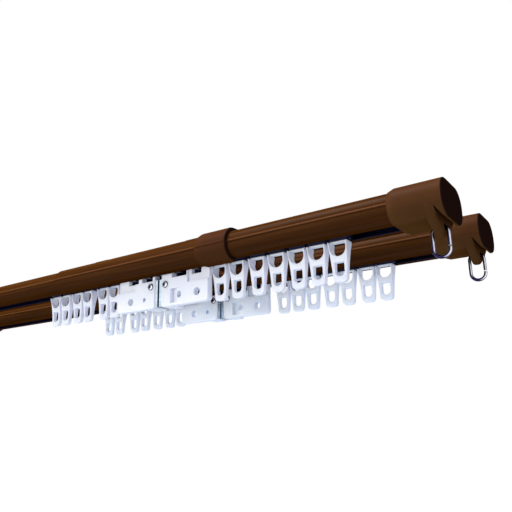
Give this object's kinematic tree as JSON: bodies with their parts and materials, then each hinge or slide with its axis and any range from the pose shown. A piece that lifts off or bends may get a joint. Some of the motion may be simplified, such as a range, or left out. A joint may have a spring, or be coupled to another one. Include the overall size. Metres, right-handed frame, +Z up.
{
  "type": "double curtain track",
  "caption": "Telescopic double curtain track: brown slotted rails with end caps and split rings, white sliding runners, magnetic leaders and wall brackets.",
  "frame": {"origin": "centre of the four wall screws, on the wall plane", "axes": "+X along the rails to the right seen from the room, +Y towards the wall, +Z up"},
  "size_m": [0.3876, 0.1037, 0.0619],
  "materials": {
    "brown_steel": "satin paint",
    "brown_plastic": "satin",
    "white_plastic": "satin",
    "milky_plastic": "satin",
    "chrome": "polished",
    "bracket_steel": "satin paint"
  },
  "bodies": {
    "mounting": {"left_bracket": "bracket_steel", "right_bracket": "bracket_steel", "front_middle_tube": "brown_steel", "back_middle_tube": "brown_steel", "front_joint_sleeve": "brown_plastic", "back_joint_sleeve": "brown_plastic"},
    "front_right_slide": {"front_right_tube": "brown_steel", "front_right_cap": "brown_plastic"},
    "front_right_ring": {"front_right_ring": "chrome"},
    "front_right_leader": {"front_right_leader": "white_plastic", "front_right_magnet_plate": "chrome", "front_right_rivet": "chrome"},
    "front_right_runner_1": {"front_right_runner_1": "white_plastic"},
    "front_right_runner_2": {"front_right_runner_2": "white_plastic"},
    "front_right_runner_3": {"front_right_runner_3": "white_plastic"},
    "front_right_runner_4": {"front_right_runner_4": "white_plastic"},
    "front_right_runner_5": {"front_right_runner_5": "white_plastic"},
    "front_right_runner_6": {"front_right_runner_6": "white_plastic"},
    "front_right_runner_7": {"front_right_runner_7": "white_plastic"},
    "front_left_slide": {"front_left_tube": "brown_steel", "front_left_cap": "brown_plastic"},
    "front_left_ring": {"front_left_ring": "chrome"},
    "front_left_leader": {"front_left_leader": "white_plastic", "front_left_magnet_plate": "chrome", "front_left_rivet": "chrome"},
    "front_left_runner_1": {"front_left_runner_1": "white_plastic"},
    "front_left_runner_2": {"front_left_runner_2": "white_plastic"},
    "front_left_runner_3": {"front_left_runner_3": "white_plastic"},
    "front_left_runner_4": {"front_left_runner_4": "white_plastic"},
    "front_left_runner_5": {"front_left_runner_5": "white_plastic"},
    "front_left_runner_6": {"front_left_runner_6": "white_plastic"},
    "back_right_slide": {"back_right_tube": "brown_steel", "back_right_cap": "brown_plastic"},
    "back_right_ring": {"back_right_ring": "chrome"},
    "back_right_leader": {"back_right_leader": "milky_plastic", "back_right_magnet_plate": "chrome", "back_right_rivet": "chrome"},
    "back_right_runner_1": {"back_right_runner_1": "milky_plastic"},
    "back_right_runner_2": {"back_right_runner_2": "milky_plastic"},
    "back_right_runner_3": {"back_right_runner_3": "milky_plastic"},
    "back_right_runner_4": {"back_right_runner_4": "milky_plastic"},
    "back_right_runner_5": {"back_right_runner_5": "milky_plastic"},
    "back_right_runner_6": {"back_right_runner_6": "milky_plastic"},
    "back_right_runner_7": {"back_right_runner_7": "milky_plastic"},
    "back_left_slide": {"back_left_tube": "brown_steel", "back_left_cap": "brown_plastic"},
    "back_left_ring": {"back_left_ring": "chrome"},
    "back_left_leader": {"back_left_leader": "milky_plastic", "back_left_magnet_plate": "chrome", "back_left_rivet": "chrome"},
    "back_left_runner_1": {"back_left_runner_1": "milky_plastic"},
    "back_left_runner_2": {"back_left_runner_2": "milky_plastic"},
    "back_left_runner_3": {"back_left_runner_3": "milky_plastic"},
    "back_left_runner_4": {"back_left_runner_4": "milky_plastic"},
    "back_left_runner_5": {"back_left_runner_5": "milky_plastic"},
    "back_left_runner_6": {"back_left_runner_6": "milky_plastic"},
    "back_left_runner_7": {"back_left_runner_7": "milky_plastic"}
  },
  "joints": [
    {"name": "front_right_telescope", "type": "slide", "parent": "mounting", "child": "front_right_slide", "axis": [1, 0, 0], "range_m": [-0.004, 0.025]},
    {"name": "front_right_ring_swing", "type": "hinge", "parent": "front_right_slide", "child": "front_right_ring", "pos_m": [0.1425, -0.091, -0.03382], "axis": [1, 0, 0], "range_deg": [-50, 50]},
    {"name": "front_right_leader_slide", "type": "slide", "parent": "mounting", "child": "front_right_leader", "axis": [1, 0, 0], "range_m": [-0.0004, 0.0094]},
    {"name": "front_right_runner_1_slide", "type": "slide", "parent": "front_right_leader", "child": "front_right_runner_1", "axis": [1, 0, 0], "range_m": [-0.0002, 0.0008]},
    {"name": "front_right_runner_2_slide", "type": "slide", "parent": "front_right_runner_1", "child": "front_right_runner_2", "axis": [1, 0, 0], "range_m": [-0.0013, 0.0008]},
    {"name": "front_right_runner_3_slide", "type": "slide", "parent": "front_right_runner_2", "child": "front_right_runner_3", "axis": [1, 0, 0], "range_m": [-0.0024, 0.0008]},
    {"name": "front_right_runner_4_slide", "type": "slide", "parent": "front_right_runner_3", "child": "front_right_runner_4", "axis": [1, 0, 0], "range_m": [-0.0015, 0.0008]},
    {"name": "front_right_runner_5_slide", "type": "slide", "parent": "front_right_runner_4", "child": "front_right_runner_5", "axis": [1, 0, 0], "range_m": [-0.0016, 0.0008]},
    {"name": "front_right_runner_6_slide", "type": "slide", "parent": "front_right_runner_5", "child": "front_right_runner_6", "axis": [1, 0, 0], "range_m": [-0.0008, 0.0008]},
    {"name": "front_right_runner_7_slide", "type": "slide", "parent": "front_right_runner_6", "child": "front_right_runner_7", "axis": [1, 0, 0], "range_m": [-0.0011, 0.0008]},
    {"name": "front_left_telescope", "type": "slide", "parent": "mounting", "child": "front_left_slide", "axis": [-1, 0, 0], "range_m": [-0.004, 0.025]},
    {"name": "front_left_ring_swing", "type": "hinge", "parent": "front_left_slide", "child": "front_left_ring", "pos_m": [-0.2349, -0.091, -0.03382], "axis": [1, 0, 0], "range_deg": [-50, 50]},
    {"name": "front_left_leader_slide", "type": "slide", "parent": "mounting", "child": "front_left_leader", "axis": [-1, 0, 0], "range_m": [-0.0004, 0.06]},
    {"name": "front_left_runner_1_slide", "type": "slide", "parent": "front_left_leader", "child": "front_left_runner_1", "axis": [-1, 0, 0], "range_m": [-0.0023, 0.0008]},
    {"name": "front_left_runner_2_slide", "type": "slide", "parent": "front_left_runner_1", "child": "front_left_runner_2", "axis": [-1, 0, 0], "range_m": [-0.0002, 0.0008]},
    {"name": "front_left_runner_3_slide", "type": "slide", "parent": "front_left_runner_2", "child": "front_left_runner_3", "axis": [-1, 0, 0], "range_m": [-0.0043, 0.0008]},
    {"name": "front_left_runner_4_slide", "type": "slide", "parent": "front_left_runner_3", "child": "front_left_runner_4", "axis": [-1, 0, 0], "range_m": [-0.0002, 0.0008]},
    {"name": "front_left_runner_5_slide", "type": "slide", "parent": "front_left_runner_4", "child": "front_left_runner_5", "axis": [-1, 0, 0], "range_m": [-0.0019, 0.0008]},
    {"name": "front_left_runner_6_slide", "type": "slide", "parent": "front_left_runner_5", "child": "front_left_runner_6", "axis": [-1, 0, 0], "range_m": [-0.0004, 0.0008]},
    {"name": "back_right_telescope", "type": "slide", "parent": "mounting", "child": "back_right_slide", "axis": [1, 0, 0], "range_m": [-0.004, 0.025]},
    {"name": "back_right_ring_swing", "type": "hinge", "parent": "back_right_slide", "child": "back_right_ring", "pos_m": [0.1425, -0.045, -0.03382], "axis": [1, 0, 0], "range_deg": [-50, 50]},
    {"name": "back_right_leader_slide", "type": "slide", "parent": "mounting", "child": "back_right_leader", "axis": [1, 0, 0], "range_m": [-0.0004, 0.0103]},
    {"name": "back_right_runner_1_slide", "type": "slide", "parent": "back_right_leader", "child": "back_right_runner_1", "axis": [1, 0, 0], "range_m": [-0.0031, 0.0008]},
    {"name": "back_right_runner_2_slide", "type": "slide", "parent": "back_right_runner_1", "child": "back_right_runner_2", "axis": [1, 0, 0], "range_m": [-0.0002, 0.0008]},
    {"name": "back_right_runner_3_slide", "type": "slide", "parent": "back_right_runner_2", "child": "back_right_runner_3", "axis": [1, 0, 0], "range_m": [-0.0002, 0.0008]},
    {"name": "back_right_runner_4_slide", "type": "slide", "parent": "back_right_runner_3", "child": "back_right_runner_4", "axis": [1, 0, 0], "range_m": [-0.0017, 0.0008]},
    {"name": "back_right_runner_5_slide", "type": "slide", "parent": "back_right_runner_4", "child": "back_right_runner_5", "axis": [1, 0, 0], "range_m": [-0.0006, 0.0008]},
    {"name": "back_right_runner_6_slide", "type": "slide", "parent": "back_right_runner_5", "child": "back_right_runner_6", "axis": [1, 0, 0], "range_m": [-0.0017, 0.0008]},
    {"name": "back_right_runner_7_slide", "type": "slide", "parent": "back_right_runner_6", "child": "back_right_runner_7", "axis": [1, 0, 0], "range_m": [-0.0005, 0.0008]},
    {"name": "back_left_telescope", "type": "slide", "parent": "mounting", "child": "back_left_slide", "axis": [-1, 0, 0], "range_m": [-0.004, 0.025]},
    {"name": "back_left_ring_swing", "type": "hinge", "parent": "back_left_slide", "child": "back_left_ring", "pos_m": [-0.2349, -0.045, -0.03382], "axis": [1, 0, 0], "range_deg": [-50, 50]},
    {"name": "back_left_leader_slide", "type": "slide", "parent": "mounting", "child": "back_left_leader", "axis": [-1, 0, 0], "range_m": [-0.0004, 0.06]},
    {"name": "back_left_runner_1_slide", "type": "slide", "parent": "back_left_leader", "child": "back_left_runner_1", "axis": [-1, 0, 0], "range_m": [-0.0002, 0.0008]},
    {"name": "back_left_runner_2_slide", "type": "slide", "parent": "back_left_runner_1", "child": "back_left_runner_2", "axis": [-1, 0, 0], "range_m": [-0.0002, 0.0008]},
    {"name": "back_left_runner_3_slide", "type": "slide", "parent": "back_left_runner_2", "child": "back_left_runner_3", "axis": [-1, 0, 0], "range_m": [-0.0018, 0.0008]},
    {"name": "back_left_runner_4_slide", "type": "slide", "parent": "back_left_runner_3", "child": "back_left_runner_4", "axis": [-1, 0, 0], "range_m": [-0.0022, 0.0008]},
    {"name": "back_left_runner_5_slide", "type": "slide", "parent": "back_left_runner_4", "child": "back_left_runner_5", "axis": [-1, 0, 0], "range_m": [-0.0009, 0.0008]},
    {"name": "back_left_runner_6_slide", "type": "slide", "parent": "back_left_runner_5", "child": "back_left_runner_6", "axis": [-1, 0, 0], "range_m": [-0.005, 0.0008]},
    {"name": "back_left_runner_7_slide", "type": "slide", "parent": "back_left_runner_6", "child": "back_left_runner_7", "axis": [-1, 0, 0], "range_m": [-0.0013, 0.0008]}
  ]
}
